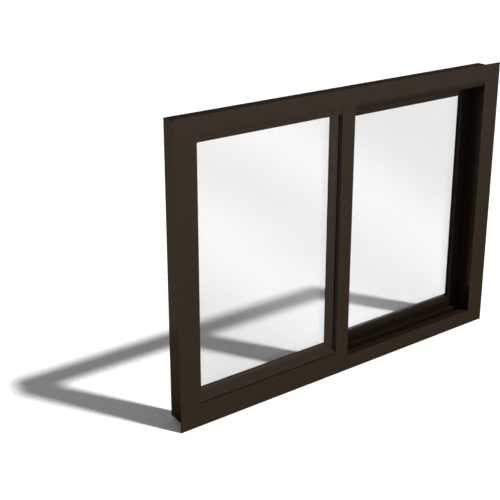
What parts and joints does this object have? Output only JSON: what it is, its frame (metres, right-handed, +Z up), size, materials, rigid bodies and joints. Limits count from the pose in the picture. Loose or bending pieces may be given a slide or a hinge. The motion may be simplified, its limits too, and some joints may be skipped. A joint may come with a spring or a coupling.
{
  "type": "horizontal sliding window",
  "caption": "Horizontal sliding window in dark bronze with a face flange, a fixed light on the left and a sliding sash in the rear track on the right.",
  "frame": {"origin": "on the back face of the flange, in the middle of its bottom strip", "axes": "+X to the right seen from outside, +Y back into the wall, +Z up"},
  "size_m": [1.2348, 0.0802, 0.9301],
  "materials": {
    "frame": "dark bronze anodised satin",
    "glass": "clear float glass",
    "spacer": "dark satin",
    "pile": "woven pile",
    "rubber": "matte",
    "nylon": "matte",
    "hardware": "dark bronze satin"
  },
  "bodies": {
    "root": {"fixed_glass_gasket": "rubber", "fixed_glass_inner_pane": "glass", "fixed_glass_outer_pane": "glass", "fixed_glass_spacer_bottom": "spacer", "fixed_glass_spacer_left": "spacer", "fixed_glass_spacer_right": "spacer", "fixed_glass_spacer_top": "spacer", "frame_head": "frame", "frame_left_jamb": "frame", "frame_lock_jamb": "frame", "frame_sill": "frame", "glazing_bead_bottom": "frame", "glazing_bead_left": "frame", "glazing_bead_right": "frame", "glazing_bead_top": "frame", "head_cover": "frame", "head_filler": "frame", "interlock_pile": "pile", "left_jamb_filler": "frame", "lock_jamb_liner": "frame", "mullion": "frame", "roller_housing_left": "nylon", "roller_housing_right": "nylon", "roller_wheel_left": "nylon", "roller_wheel_right": "nylon", "sash_bottom_rail": "frame", "sash_glass_gasket": "rubber", "sash_glass_inner_pane": "glass", "sash_glass_outer_pane": "glass", "sash_glass_spacer_bottom": "spacer", "sash_glass_spacer_left": "spacer", "sash_glass_spacer_right": "spacer", "sash_glass_spacer_top": "spacer", "sash_latch": "hardware", "sash_lock_stile": "frame", "sash_meeting_stile": "frame", "sash_top_rail": "frame", "setting_block_left": "rubber", "setting_block_right": "rubber", "sill_filler": "frame"}
  },
  "joints": []
}
